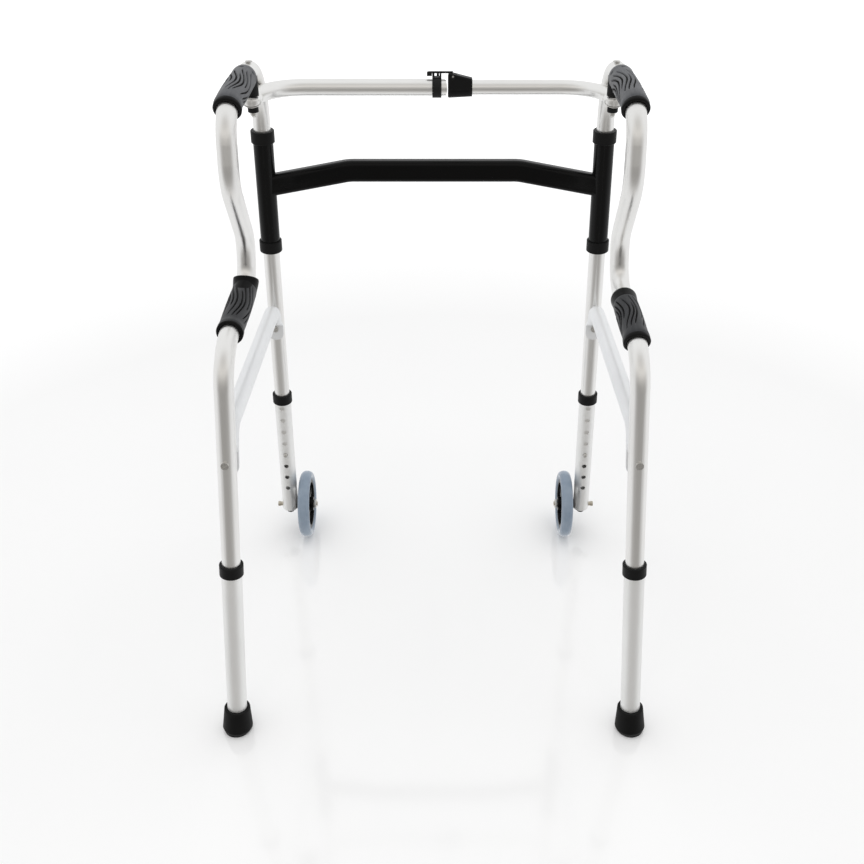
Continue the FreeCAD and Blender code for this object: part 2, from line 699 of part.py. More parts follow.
def flat_bar_end(side, radius, inset):
    """Loft from the round bar to its pressed end; an inset gives the hollow inside it."""
    x, z, pivot = size["bar_pivot_x"], size["bar_z"], size["bar_pivot_y"]
    wide, high = size["bar_flat_width"] / 2 - inset, size["bar_flat"] / 2 - inset
    round_centre = at(side, x, pivot + size["bar_round_from"], z)
    wires = [Part.Wire(Part.makeCircle(radius - inset, round_centre, REARWARD))]
    for y in (pivot + size["bar_flat_from"], pivot - size["bar_tail"] - 4.0):
        centre = at(side, x, y, z)
        ellipse = Part.Ellipse(centre - Vector(wide, 0, 0), centre - Vector(0, 0, high), centre)
        wires.append(Part.Wire(ellipse.toShape()))
    return Part.makeLoft(wires, True, True)


def make_bar(name, side, radius, inner_x, swing_radius=None):
    """Half of the top bar; a swing radius rounds its free end about its own pivot."""
    edges = bar_path(side, size["bar_pivot_y"] + size["bar_round_from"], inner_x)
    inside = radius - size["bar_wall"]
    shape = pipe(edges, radius).fuse(flat_bar_end(side, radius, 0.0))
    shape = shape.cut(pipe(edges, inside)).cut(flat_bar_end(side, radius, size["bar_wall"]))
    pivot = at(side, size["bar_pivot_x"], size["bar_pivot_y"], size["bar_z"])
    round_end = Part.makeCylinder(size["bar_flat_width"] / 2, 60.0, pivot - Vector(0, 0, 30), Z_AXIS)
    ahead = Part.makeBox(600.0, 200.0, 60.0, pivot - Vector(300, 0, 30))
    shape = shape.common(round_end.fuse(ahead))
    if swing_radius:
        shape = shape.common(Part.makeCylinder(swing_radius, 60.0, pivot - Vector(0, 0, 30), Z_AXIS))
    shape = drill(shape, pivot, Z_AXIS, size["pivot_bolt_r"] + 0.05, 60.0)
    add_subpart("bar_tube_" + name, solid_feature("BarTube" + name, shape))


def housing_section(x, round_r, top, half_top, corner):
    """Closed outline across the bar: half round below, drawn in to a narrower rounded top."""
    y, z = size["bar_y"] - size["centre_y"], size["bar_z"]

    def point(across_bar, above_bar):
        return Vector(x, y + across_bar, z + above_bar)

    shoulder = top - corner
    lean = corner * 0.293
    edges = [Part.Arc(point(-round_r, 0), point(0, -round_r), point(round_r, 0)).toShape(),
             Part.LineSegment(point(round_r, 0), point(half_top, shoulder)).toShape(),
             Part.Arc(point(half_top, shoulder), point(half_top - lean, top - lean),
                      point(half_top - corner, top)).toShape(),
             Part.LineSegment(point(half_top - corner, top), point(corner - half_top, top)).toShape(),
             Part.Arc(point(corner - half_top, top), point(lean - half_top, top - lean),
                      point(-half_top, shoulder)).toShape(),
             Part.LineSegment(point(-half_top, shoulder), point(-round_r, 0)).toShape()]
    return Part.Wire(edges)


def make_latch():
    """Ring on the left half; tapered housing, lever and pin on the right half."""
    y, z = size["bar_y"] - size["centre_y"], size["bar_z"]
    x_axis = Vector(1, 0, 0)
    ring_from, ring_width = size["ring_from"], size["ring_width"]
    ring_middle = ring_from + ring_width / 2
    lug_top = size["lug_top"]
    ring = cylinder("RingBody", "ring_r", "ring_width", Vector(ring_from, y, z), x_axis)
    lug = block("RingLug", ring_width, 12.0, 8.0, Vector(ring_middle, y, z + lug_top - 4.0))
    bore = cylinder("RingBore", size["bar_r"] + 0.02, 30.0, Vector(ring_from - 8, y, z), x_axis)
    notch = block("RingNotch", 7.4, 20.0, 6.0, Vector(ring_middle + 0.3, y, z + lug_top - 1.6))
    add_subpart("latch_ring", cut("LatchRing", fused("RingShape", [ring, lug]), [bore, notch]))

    near, far, wide = size["housing_from"], size["housing_to"], size["housing_r"]
    pivot_x, pivot_z = size["lever_pin_x"], z + size["lever_pin_above"]
    notch = size["notch_width"]
    half_top, corner = size["housing_half_top"], size["housing_corner"]
    end_r = size["housing_end_r"]
    sections = [housing_section(near, wide, size["housing_top"], half_top, corner),
                housing_section(far, end_r, end_r, half_top, corner)]
    housing = Part.makeLoft(sections, True, True)
    bar_pivot = Vector(size["bar_pivot_x"], size["bar_pivot_y"] - size["centre_y"], z - 30.0)
    bar_end = Vector(-size["bar_pivot_x"] + latch_reach * cos(latch_turn), y - size["bar_r"], z - 30.0)
    housing = housing.common(Part.makeCylinder((bar_end - bar_pivot).Length - 0.4, 60.0, bar_pivot, Z_AXIS))
    housing = drill(housing, Vector(far, y, z), x_axis, size["bar_right_r"] + 0.02, 60.0)
    housing = housing.cut(Part.makeBox(19.0, notch, 20.0, Vector(near - 6.0, y - notch / 2, z + 12.2)))
    housing = drill(housing, Vector(pivot_x, y, pivot_z), FORWARD, size["lever_bore_r"], 40.0)
    add_subpart("latch_housing", solid_feature("LatchHousing", housing))

    arm_width, arm_low, arm_high = size["lever_width"], size["lever_low"], size["lever_high"]
    neck_low = size["lever_neck_low"]
    arm = block("LeverArm", 33.0, arm_width, arm_high - arm_low, Vector(9.5, y, z + (arm_low + arm_high) / 2))
    knob = cylinder("LeverKnob", 3.1, 7.0, Vector(-9.0, y, z + 18.5), x_axis)
    tooth = block("LeverTooth", 3.4, arm_width, 5.0, Vector(6.6, y, z + 18.4))
    neck_middle = Vector(25.7, y, z + (arm_high + neck_low) / 2)
    neck = block("LeverNeck", 4.6, arm_width, arm_high - neck_low, neck_middle)
    boss = cylinder("LeverBoss", 3.2, arm_width, Vector(pivot_x, y - arm_width / 2, pivot_z), FORWARD)
    pin_hole = cylinder("LeverPinHole", "lever_bore_r", 30.0, Vector(pivot_x, y - 15.0, pivot_z), FORWARD)
    lever = cut("LatchLever", fused("LeverShape", [arm, knob, neck, tooth, boss]), [pin_hole])
    add_subpart("latch_lever", lever)
    pin_start = Vector(pivot_x, y - size["lever_pin_length"] / 2, pivot_z)
    pin = cylinder("LatchPin", "lever_pin_r", "lever_pin_length", pin_start, FORWARD)
    add_subpart("latch_pin", pin)


for side_name, side_sign in SIDES.items():
    path = frame_path(side_sign)
    make_frame_tube(side_name, side_sign, path)
    upper_from = length_to(path, size["upper_grip_start"] - size["centre_y"], 800.0)
    make_grip("upper_grip_" + side_name, path, upper_from, upper_from + size["upper_grip_length"])
    lower_end = sum(edge.Length for edge in path[:11]) + LOWER_GRIP_END[side_name]
    make_grip("lower_grip_" + side_name, path, lower_end - LOWER_GRIP_LENGTH[side_name], lower_end)
    make_side_brace(side_name, side_sign)
    make_brace_bolts(side_name, side_sign)
    make_button_springs(side_name, side_sign)
    make_bar_pivot(side_name, side_sign)
    for leg in ("front", "rear"):
        make_extension(side_name, side_sign, leg)
        make_snap_button(side_name, side_sign, leg)
    make_rubber_tip(side_name, side_sign)
    make_wheel(side_name, side_sign)
    make_axle(side_name, side_sign)
    make_sleeve(side_name, side_sign)
make_cross_brace()
# the left half's free end is round about its pivot and just clears the housing's front corner
ahead_of_pivot = size["bar_y"] - size["bar_pivot_y"]
across_to_pivot = size["housing_from"] + size["bar_pivot_x"]
corner_reach = (across_to_pivot ** 2 + (ahead_of_pivot - size["housing_r"]) ** 2) ** 0.5
latch_reach = corner_reach - 0.4
latch_turn = asin((ahead_of_pivot - size["bar_r"]) / latch_reach)
make_bar("left", -1, size["bar_r"], size["housing_from"] + 6.0, latch_reach)
make_bar("right", 1, size["bar_right_r"], size["housing_from"] + 6.0)
make_latch()

doc.recompute()
for obj in doc.Objects:
    if "Invalid" in obj.State or "Error" in obj.State:
        raise RuntimeError(f"{obj.Name} failed: {obj.State}")
for node, obj in subparts.items():
    if obj.Shape.isNull() or not obj.Shape.isValid() or not obj.Shape.Solids:
        raise RuntimeError(f"{node} has no valid shape")
os.makedirs("parts", exist_ok=True)
for node, obj in subparts.items():
    obj.Shape.exportStep(f"parts/{node}.step")
    print(node, len(obj.Shape.Solids), round(obj.Shape.Volume))
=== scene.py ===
"""Looks of the folding walking frame. Metres, +Z up, +Y towards the wheels, +X to the user's right."""
import json
from math import cos, pi, radians, sin, tau

import bpy
import numpy as np
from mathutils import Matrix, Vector


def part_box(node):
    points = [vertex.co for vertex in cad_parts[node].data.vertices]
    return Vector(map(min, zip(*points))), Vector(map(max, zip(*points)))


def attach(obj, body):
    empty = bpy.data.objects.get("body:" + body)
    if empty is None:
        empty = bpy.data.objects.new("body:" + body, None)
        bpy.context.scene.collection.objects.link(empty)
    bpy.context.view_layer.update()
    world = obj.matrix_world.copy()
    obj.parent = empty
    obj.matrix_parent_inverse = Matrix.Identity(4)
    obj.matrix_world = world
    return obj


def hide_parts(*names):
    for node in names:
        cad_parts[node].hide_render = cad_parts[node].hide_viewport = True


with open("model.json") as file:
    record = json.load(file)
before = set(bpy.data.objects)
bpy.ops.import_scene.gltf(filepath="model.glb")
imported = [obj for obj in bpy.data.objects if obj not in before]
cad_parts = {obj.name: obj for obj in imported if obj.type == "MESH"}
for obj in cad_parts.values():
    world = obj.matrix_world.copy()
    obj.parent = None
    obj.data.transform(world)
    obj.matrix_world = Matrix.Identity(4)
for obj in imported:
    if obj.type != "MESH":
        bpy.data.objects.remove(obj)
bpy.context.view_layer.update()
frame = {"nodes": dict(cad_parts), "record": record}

NODES = frame["nodes"]
SIDES = {"left": -1, "right": 1}
MM = 0.001
scene = bpy.context.scene


# ---------------------------------------------------------------- node material helpers
class Recipe:
    """A Principled material with short calls for the nodes that feed it."""

    def __init__(self, name, **sockets):
        self.mat = bpy.data.materials.new(name)
        self.mat.use_nodes = True
        self.tree = self.mat.node_tree
        self.shader = self.tree.nodes["Principled BSDF"]
        for key, value in sockets.items():
            self.shader.inputs[key.replace("_", " ")].default_value = value
        self.place = self.tree.nodes.new("ShaderNodeTexCoord").outputs["Object"]

    def feed(self, socket, value):
        """Link a node's output to the socket, or set the socket to a plain value."""
        if isinstance(value, bpy.types.NodeSocket):
            self.tree.links.new(value, socket)
        else:
            socket.default_value = value

    def node(self, kind, **inputs):
        made = self.tree.nodes.new("ShaderNode" + kind)
        for key, value in inputs.items():
            self.feed(made.inputs[key.replace("_", " ")], value)
        return made

    def mapped(self, scale):
        return self.node("Mapping", Vector=self.place, Scale=scale).outputs[0]

    def noise(self, scale, detail=3.0, roughness=0.55, stretch=(1, 1, 1)):
        found = self.node("TexNoise", Vector=self.mapped(stretch), Scale=scale, Detail=detail,
                          Roughness=roughness)
        return found.outputs["Fac"]

    def ramp(self, fac, *stops):
        made = self.node("ValToRGB", Fac=fac)
        points = made.color_ramp.elements
        while len(points) < len(stops):
            points.new(0.5)
        for point, (where, colour) in zip(points, stops):
            grey = isinstance(colour, (int, float))
            point.position = where
            point.color = (colour, colour, colour, 1.0) if grey else (*colour, 1.0)
        return made.outputs["Color"]

    def maths(self, operation, a, b):
        made = self.tree.nodes.new("ShaderNodeMath")
        made.operation = operation
        for socket, value in zip(made.inputs, (a, b)):
            self.feed(socket, value)
        return made.outputs[0]

    def from_origin(self):
        """Distance from the object's origin."""
        made = self.tree.nodes.new("ShaderNodeVectorMath")
        made.operation = "LENGTH"
        self.feed(made.inputs[0], self.place)
        return made.outputs["Value"]

    def mix(self, fac, a, b):
        made = self.tree.nodes.new("ShaderNodeMix")
        made.data_type = "RGBA"
        self.feed(made.inputs[0], fac)
        for socket, value in zip((made.inputs[6], made.inputs[7]), (a, b)):
            self.feed(socket, value if isinstance(value, bpy.types.NodeSocket) else (*value, 1.0))
        return made.outputs[2]

    def colour(self, socket):
        self.feed(self.shader.inputs["Base Color"], socket)

    def rough(self, fac, low, high):
        self.feed(self.shader.inputs["Roughness"], self.ramp(fac, (0.3, low), (0.7, high)))

    def bump(self, height, strength, distance):
        made = self.node("Bump", Height=height, Strength=strength, Distance=distance)
        self.feed(self.shader.inputs["Normal"], made.outputs[0])

    def edges(self):
        """0 to 1 where the surface turns sharply outwards, for wear."""
        point = self.tree.nodes.new("ShaderNodeNewGeometry").outputs["Pointiness"]
        return self.ramp(point, (0.52, 0.0), (0.6, 1.0))


def anodised(name, base, dark, roughness, metallic):
    """Satin anodised tube: fine drawn lines along Z, cloudy tone and a few handling marks."""
    made = Recipe(name, Metallic=metallic, IOR=1.5)
    cloud = made.noise(9.0, 4.0)
    lines = made.noise(420.0, 2.0, 0.5, (1.0, 1.0, 0.02))
    marks = made.noise(60.0, 8.0, 0.8, (1.0, 1.0, 0.35))
    tone = made.mix(made.ramp(cloud, (0.3, 0.0), (0.75, 1.0)), base, dark)
    scuffs = made.ramp(marks, (0.72, 0.0), (0.80, 1.0))
    made.colour(made.mix(made.maths("MULTIPLY", scuffs, 0.20), tone, tuple(c * 0.85 for c in dark)))
    blend = made.maths("ADD", made.maths("MULTIPLY", cloud, 0.6), made.maths("MULTIPLY", lines, 0.4))
    made.rough(blend, *roughness)
    made.bump(lines, 0.010, 0.00005)
    return made.mat


def enamel(name, base):
    """Gloss black paint with faint orange peel, dust specks and rubbed edges."""
    made = Recipe(name, IOR=1.5, Specular_IOR_Level=0.14)
    peel = made.noise(420.0, 2.0)
    smear = made.noise(14.0, 5.0, 0.6)
    dust = made.ramp(made.noise(700.0, 2.0, 0.5), (0.76, 0.0), (0.82, 1.0))
    tone = made.mix(made.maths("MULTIPLY", dust, 0.2), base, (0.06, 0.06, 0.058))
    made.colour(made.mix(made.maths("MULTIPLY", made.edges(), 0.2), tone, (0.016, 0.016, 0.016)))
    made.rough(smear, 0.10, 0.22)
    made.bump(peel, 0.10, 0.0001)
    return made.mat


def moulded(name, base, low, high, grain=1500.0, gloss=0.10):
    """Moulded plastic or rubber: fine spark grain, cloudy sheen and paler worn edges."""
    made = Recipe(name, IOR=1.48, Specular_IOR_Level=gloss)
    grains = made.noise(grain, 2.0, 0.6)
    cloud = made.noise(35.0, 5.0, 0.6)
    pale = tuple(c * 1.7 + 0.001 for c in base)
    worn = tuple(c * 2.2 + 0.012 for c in base)
    tone = made.mix(made.ramp(cloud, (0.35, 0.0), (0.8, 0.5)), base, pale)
    made.colour(made.mix(made.maths("MULTIPLY", made.edges(), 0.5), tone, worn))
    made.rough(cloud, low, high)
    made.bump(made.maths("ADD", grains, made.maths("MULTIPLY", cloud, 0.4)), 0.22, 0.00016)
    return made.mat


def grip_sleeve(name, low, high, dusty):
    """Soft grey-black PVC: fine skin texture, dusty streaks and a slight bloom."""
    made = Recipe(name, IOR=1.46, Specular_IOR_Level=0.26, Sheen_Weight=0.06, Sheen_Roughness=0.5)
    skin = made.noise(1300.0, 3.0, 0.7)
    smooth = made.noise(45.0, 4.0, 0.6, (1.0, 0.35, 0.6))
    streak = made.noise(260.0, 4.0, 0.65, (1.0, 0.08, 0.3))
    tone = made.mix(made.ramp(smooth, (0.3, 0.0), (0.75, 1.0)), low, high)
    streaks = made.maths("MULTIPLY", made.ramp(streak, (0.45, 0.0), (0.75, 1.0)), 0.35)
    made.colour(made.mix(streaks, tone, dusty))
    made.rough(smooth, 0.40, 0.60)
    made.bump(made.maths("ADD", skin, made.maths("MULTIPLY", streak, 0.8)), 0.25, 0.00018)
    return made.mat


def groove_shadow(name):
    """The same sleeve down in its grooves, where it stays dark and dull."""
    made = Recipe(name, IOR=1.46, Specular_IOR_Level=0.08)
    skin = made.noise(900.0, 3.0, 0.7)
    made.colour(made.ramp(skin, (0.3, 0.006), (0.75, 0.014)))
    made.rough(skin, 0.6, 0.8)
    made.bump(skin, 0.2, 0.00015)
    return made.mat


def tyre_rubber(name):
    """Blue-grey solid tyre: cloudy pigment, fine grain and small pale nicks."""
    made = Recipe(name, IOR=1.5, Specular_IOR_Level=0.45)
    cloud = made.noise(28.0, 6.0, 0.65)
    fine = made.noise(900.0, 3.0, 0.6)
    nicks = made.ramp(made.noise(180.0, 6.0, 0.75), (0.68, 0.0), (0.76, 1.0))
    tone = made.mix(made.ramp(cloud, (0.3, 0.0), (0.75, 1.0)), (0.215, 0.275, 0.355), (0.305, 0.370, 0.450))
    made.colour(made.mix(made.maths("MULTIPLY", nicks, 0.35), tone, (0.40, 0.44, 0.49)))
    made.rough(cloud, 0.12, 0.26)
    made.bump(made.maths("SUBTRACT", fine, nicks), 0.10, 0.00012)
    return made.mat


def fastener(name, base, roughness):
    """Plated steel: slightly mottled zinc, uneven in gloss."""
    made = Recipe(name, Metallic=1.0)
    mottle = made.noise(450.0, 4.0, 0.7)
    made.colour(made.ramp(mottle, (0.3, tuple(c * 0.7 for c in base)), (0.7, base)))
    made.rough(made.noise(220.0, 3.0), *roughness)
    made.bump(mottle, 0.15, 0.0001)
    return made.mat


UPPER_GRIP = grip_sleeve("grip_sleeve", (0.050, 0.052, 0.057), (0.086, 0.089, 0.097),
                         (0.150, 0.154, 0.166))
LOOKS = {
    "frame_aluminium": anodised("satin_tube", (0.87, 0.865, 0.85), (0.82, 0.81, 0.79), (0.29, 0.36), 1.0),
    "extension_aluminium": anodised("pale_tube", (0.88, 0.88, 0.87), (0.83, 0.83, 0.82), (0.40, 0.52), 0.70),
    "grip_foam": UPPER_GRIP,
    "black_enamel": enamel("black_enamel", (0.002, 0.002, 0.002)),
    "black_plastic": moulded("black_plastic", (0.004, 0.004, 0.004), 0.32, 0.48),
    "steel_fastener": fastener("zinc_steel", (0.74, 0.73, 0.70), (0.22, 0.38)),
    "brass_bolt": fastener("yellow_zinc", (0.60, 0.55, 0.46), (0.25, 0.4)),
    "tyre_rubber": tyre_rubber("tyre_rubber"),
    "rim_plastic": moulded("rim_plastic", (0.003, 0.003, 0.003), 0.22, 0.38, 900.0, 0.16),
    "tip_rubber": moulded("tip_rubber", (0.005, 0.005, 0.005), 0.46, 0.64, 1100.0, 0.10),
}
GRIP_RING = moulded("grip_ring", (0.002, 0.002, 0.002), 0.30, 0.45, 1300.0, 0.12)
GROOVE = groove_shadow("groove_shadow")
# The lower grips' sleeve: the same PVC as the upper grips, with painted shade in its darker colours because
# the lower grips sit in more shade
LOWER_GRIP_PAINTED_SHADE = grip_sleeve("lower_grip_sleeve_painted_shade", (0.018, 0.019, 0.021), (0.030, 0.031, 0.034),
                         (0.055, 0.056, 0.060))


def dress(obj, *looks):
    """Give an object its materials in slot order."""
    if obj.data.materials:
        obj.data.materials.clear()
    for look in looks:
        obj.data.materials.append(look)


for part in frame["record"]["subparts"]:
    dress(NODES[part["node"]], LOOKS[part["material_slot"]])
brace_look = anodised("brace_tube", (0.86, 0.87, 0.88), (0.80, 0.81, 0.82), (0.34, 0.44), 0.5)
for name in SIDES:
    dress(NODES[f"side_brace_{name}"], brace_look)


# ---------------------------------------------------------------- swept and turned pieces
def mesh_object(name, points, faces):
    mesh = bpy.data.meshes.new(name)
    mesh.from_pydata([tuple(p) for p in points], [], faces)
    mesh.validate()
    mesh.shade_smooth()
    obj = bpy.data.objects.new(name, mesh)
    scene.collection.objects.link(obj)
    return obj


def ring_faces(rows, around, closed):
    """Quads between rings of points; closed also joins the last ring to the first."""
    faces = []
    for i in range(rows if closed else rows - 1):
        j = (i + 1) % rows
        for k in range(around):
            m = (k + 1) % around
            faces.append((i * around + k, i * around + m, j * around + m, j * around + k))
    return faces


def turned(name, profile, start, direction, around):
    """Closed ring turned about an axis; profile is a closed loop of (radius, height)."""
    axis = Vector(direction).normalized()
    turn = axis.to_track_quat("Z", "Y").to_matrix()
    base = Vector(start)
    points = []
    for radius, height in profile:
        for k in range(around):
            angle = tau * k / around
            points.append(base + turn @ Vector((radius * cos(angle), radius * sin(angle), height)))
    return mesh_object(name, points, ring_faces(len(profile), around, True))


def arc_points(cx, cy, radius, start, end, count):
    """Points (x, y) of an arc between two angles in degrees."""
    found = []
    for k in range(count + 1):
        a = radians(start + (end - start) * k / count)
        found.append((cx + radius * cos(a), cy + radius * sin(a)))
    return found


def carry(piece, body, node, slot, *looks):
    """Dress a piece, put it on its body and let it stand for a CAD node."""
    dress(piece, *looks)
    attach(piece, body)
    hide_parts(node)


# ---------------------------------------------------------------- path of the bent side tube
CENTRE_Y = 0.2672
HANDLE_Z = 0.8815
TUBE_CORNERS = (
    (0.2772, 0.4963, 0.0),
    (0.2512, 0.438, HANDLE_Z),
    (0.2445, 0.152, HANDLE_Z - 0.003),
    (0.2465, 0.143, 0.789),
    (0.2525, 0.232, 0.689),
    (0.2565, 0.232, 0.624),
    (0.258, 0.046, 0.610),
    (0.296, 0.0, 0.0),
)
BEND_RADII = (0.099, 0.044, 0.060, 0.060, 0.034, 0.055)


def tube_path(side, step=0.0012):
    """Evenly spaced points and tangents along the side tube, from the front foot to the rear foot."""
    corners = [Vector((side * x, y - CENTRE_Y, z)) for x, y, z in TUBE_CORNERS]
    runs, begin = [], corners[0]
    for corner, before, after, radius in zip(corners[1:], corners, corners[2:], BEND_RADII):
        back, ahead = (before - corner).normalized(), (after - corner).normalized()
        half = back.angle(ahead) / 2
        setback = radius / np.tan(half)
        first, last = corner + back * setback, corner + ahead * setback
        middle = corner + (back + ahead).normalized() * (radius / sin(half))
        count = max(2, int((begin - first).length / step))
        runs += [begin.lerp(first, k / count) for k in range(count)]
        a, b = first - middle, last - middle
        bend = a.angle(b)
        count = max(2, int(radius * bend / step))
        for k in range(count):
            share = k / count
            runs.append(middle + (a * sin((1 - share) * bend) + b * sin(share * bend)) / sin(bend))
        begin = last
    count = int((begin - corners[-1]).length / step)
    runs += [begin.lerp(corners[-1], k / count) for k in range(count + 1)]
    points = np.array(runs)
    tangents = np.gradient(points, axis=0)
    tangents /= np.linalg.norm(tangents, axis=1)[:, None]
    return points, tangents


SLEEVE_REACH = 0.03
END_REACH = 0.05
END_SLACK = 0.4 * MM


def stretch_in(node, side):
    """The part of the side tube's path that lies inside a CAD grip: from its start to its end."""
    points, tangents = tube_path(side)
    mesh = np.array([v.co for v in NODES[node].data.vertices])
    near = np.array([np.min(np.linalg.norm(mesh - p, axis=1)) for p in points])
    inside = []
    for point, tangent, gap in zip(points, tangents, near):
        if gap >= SLEEVE_REACH:
            inside.append(False)
            continue
        along = (mesh - point) @ tangent
        close = np.linalg.norm(mesh - point, axis=1) < END_REACH
        inside.append(along[close].min() < -END_SLACK and along[close].max() > END_SLACK)
    return points, tangents, np.flatnonzero(inside)


def smooth_step(x, low, high):
    t = np.clip((x - low) / (high - low), 0.0, 1.0)
    return t * t * (3 - 2 * t)


GRIP_BORE = 12.95 * MM
GRIP_BODY = 16.0 * MM
GRIP_SWELL = 1.0 * MM
GRIP_LIP = 17.5 * MM
FLANGE = 17.4 * MM
FLANGE_LENGTH = 19.0 * MM
RING_WIDTH = 5.0 * MM
FLARE_LENGTH = 18.0 * MM
CREASE = 0.5 * MM
CREASE_WIDTH = 0.9 * MM
BEAD = 0.5 * MM
BEAD_AT = 9.0 * MM
BEAD_WIDTH = 5.0 * MM
NOTCHES = 6
NOTCH_SHARE = 0.8
NOTCH_AT = 16.0 * MM
NOTCH_LENGTH = 2.4 * MM
NOTCH_ANGLE = 0.19
GROOVES = 18
GROOVE_DEPTH = 1.9 * MM
GROOVE_EDGE = 0.45
GROOVE_RUN_OUT = 18.0 * MM
GROOVE_SWAY = 0.30
GROOVE_WAVES = 1.15
GROOVE_ANGLE = 0.044
GROOVE_SWELL = 0.030
CREST = 0.35 * MM
AROUND = 288
# a grip's material slots: its skin, the black ring or flange, and the groove floors
SKIN_LOOK, RING_LOOK, GROOVE_LOOK = 0, 1, 2
# rings of the end faces: shift along the handle, and share of the way from the bore to the outside
FRONT_FACE = ((0.0, 0.0), (0.0, 0.6), (0.0008, 0.9))
REAR_FACE = ((-0.0004, 0.93), (0.0, 0.55), (-0.0003, 0.2), (-0.0012, 0.0))


def groove_field(s, angle, length, seed):
    """Depth 0 to 1 of the wavy lengthwise grooves at distances s and angles round the sleeve."""
    rng = np.random.default_rng(seed)
    depth = np.zeros((len(s), len(angle)))
    for k in range(GROOVES):
        base = tau * (k + rng.uniform(-0.16, 0.16)) / GROOVES
        sway = GROOVE_SWAY + rng.uniform(-0.05, 0.05)
        centre = base + sway * np.sin(tau * s / length * GROOVE_WAVES + 0.9 + 0.35 * sin(base))
        low = length * rng.uniform(0.12, 0.17)
        high = length * rng.uniform(0.89, 0.94)
        if k % 4 == 1:
            low = length * rng.uniform(0.26, 0.36)
        if k % 4 == 3:
            high = length * rng.uniform(0.68, 0.78)
        opening = smooth_step(s, low, low + GROOVE_RUN_OUT)
        window = opening * (1 - smooth_step(s, high - GROOVE_RUN_OUT, high))
        away = (angle[None, :] - centre[:, None] + pi) % tau - pi
        width = GROOVE_ANGLE + GROOVE_SWELL * np.sin(pi * np.clip((s - low) / (high - low), 0, 1))
        depth = np.maximum(depth, window[:, None] * np.exp(-np.abs(away / width[:, None]) ** 2.2))
    return depth


def rim_notches(s, angle):
    """Depth 0 to 1 of the oval notches just behind the front rim."""
    depth = np.zeros((len(s), len(angle)))
    along = (s[:, None] - NOTCH_AT) / NOTCH_LENGTH
    for k in range(NOTCHES):
        away = (angle - (k + 0.5) * tau / NOTCHES + pi) % tau - pi
        depth += np.exp(-along ** 2 - (away[None, :] / NOTCH_ANGLE) ** 2)
    return depth


def grip_radii(s, angle, length, front, seed):
    """Outer radius and groove depth of a grip; front is "rim" or "flange"."""
    body = GRIP_BODY + GRIP_SWELL * np.sin(pi * np.clip(s / length, 0, 1))
    flare = smooth_step(s, length - FLARE_LENGTH, length - RING_WIDTH)
    body = body * (1 - flare) + GRIP_LIP * flare
    if front == "flange":
        cone = 1 - smooth_step(s, 0.003, FLANGE_LENGTH)
        body = body * (1 - cone) + FLANGE * cone
        body = body - CREASE * np.exp(-((s - FLANGE_LENGTH) / CREASE_WIDTH) ** 2)
    else:
        body = body + BEAD * np.exp(-((s - BEAD_AT) / BEAD_WIDTH) ** 2)
    body = body - CREASE * np.exp(-((s - (length - RING_WIDTH)) / CREASE_WIDTH) ** 2)
    depth = groove_field(s, angle, length, seed)
    if front == "rim":
        depth = np.maximum(depth, NOTCH_SHARE * rim_notches(s, angle))
    crest = CREST * np.exp(-((depth - 0.2) / 0.16) ** 2) * (depth > 0.02)
    return body[:, None] - GROOVE_DEPTH * depth + crest, depth


def make_grip(node, side, front, seed):
    """Sleeve swept along the handle: a rim or flange in front, wavy grooves and a black lip behind."""
    points, tangents, inside = stretch_in(node, side)
    begin, end = inside[0], inside[-1]
    centre, ahead = points[begin:end + 1], tangents[begin:end + 1]
    s = np.concatenate([[0.0], np.cumsum(np.linalg.norm(np.diff(centre, axis=0), axis=1))])
    length = s[-1]
    angle = np.linspace(0, tau, AROUND, endpoint=False)
    radius, depth = grip_radii(s, angle, length, front, seed)
    outward = np.array([side, 0.0, 0.0])
    side_axis = np.array([outward - t * (t @ outward) for t in ahead])
    side_axis /= np.linalg.norm(side_axis, axis=1)[:, None]
    up_axis = np.cross(ahead, side_axis)

    def ring(index, shift, radii):
        spot = centre[index] + ahead[index] * shift
        across, upward = side_axis[index], up_axis[index]
        return [spot + r * (cos(a) * across + sin(a) * upward) for a, r in zip(angle, radii)]

    rows = []
    for shift, share in FRONT_FACE:
        rows.append(ring(0, shift, GRIP_BORE + (radius[2] - GRIP_BORE) * share))
    for i in range(2, len(s) - 1):
        rows.append(ring(i, 0.0, radius[i]))
    last = len(s) - 1
    for shift, share in REAR_FACE:
        rows.append(ring(last, shift, GRIP_BORE + (radius[last] - GRIP_BORE) * share))
    rows.append(ring(last - 3, 0.0, np.full(AROUND, GRIP_BORE)))
    rows.append(ring(3, 0.0, np.full(AROUND, GRIP_BORE)))
    grid = [point for row in rows for point in row]
    piece = mesh_object(node + "_sleeve", grid, ring_faces(len(rows), AROUND, True))
    black_from = next(i for i in range(len(s)) if s[i] > length - RING_WIDTH) + 1
    materials = np.full((len(rows), AROUND), SKIN_LOOK, dtype=np.int32)
    materials[3:len(s)][depth[2:len(s) - 1] > GROOVE_EDGE] = GROOVE_LOOK
    materials[black_from:] = RING_LOOK
    if front == "flange":
        materials[:next(i for i in range(len(s)) if s[i] > FLANGE_LENGTH)] = RING_LOOK
    piece.data.polygons.foreach_set("material_index", materials.ravel())
    return piece


# level, shape of the front end, seed of the grooves and look of each grip; the lower grips' look is the same
# sleeve darkened with painted shade
GRIPS = (("upper", "rim", 11, UPPER_GRIP), ("lower", "flange", 23, LOWER_GRIP_PAINTED_SHADE))
RIGHT_SEED_SHIFT = 5
for name, side in SIDES.items():
    for level, front, seed, look in GRIPS:
        node = f"{level}_grip_{name}"
        grip = make_grip(node, side, front, seed + (RIGHT_SEED_SHIFT if side > 0 else 0))
        carry(grip, f"side_frame_{name}", node, "grip_foam", look, GRIP_RING, GROOVE)


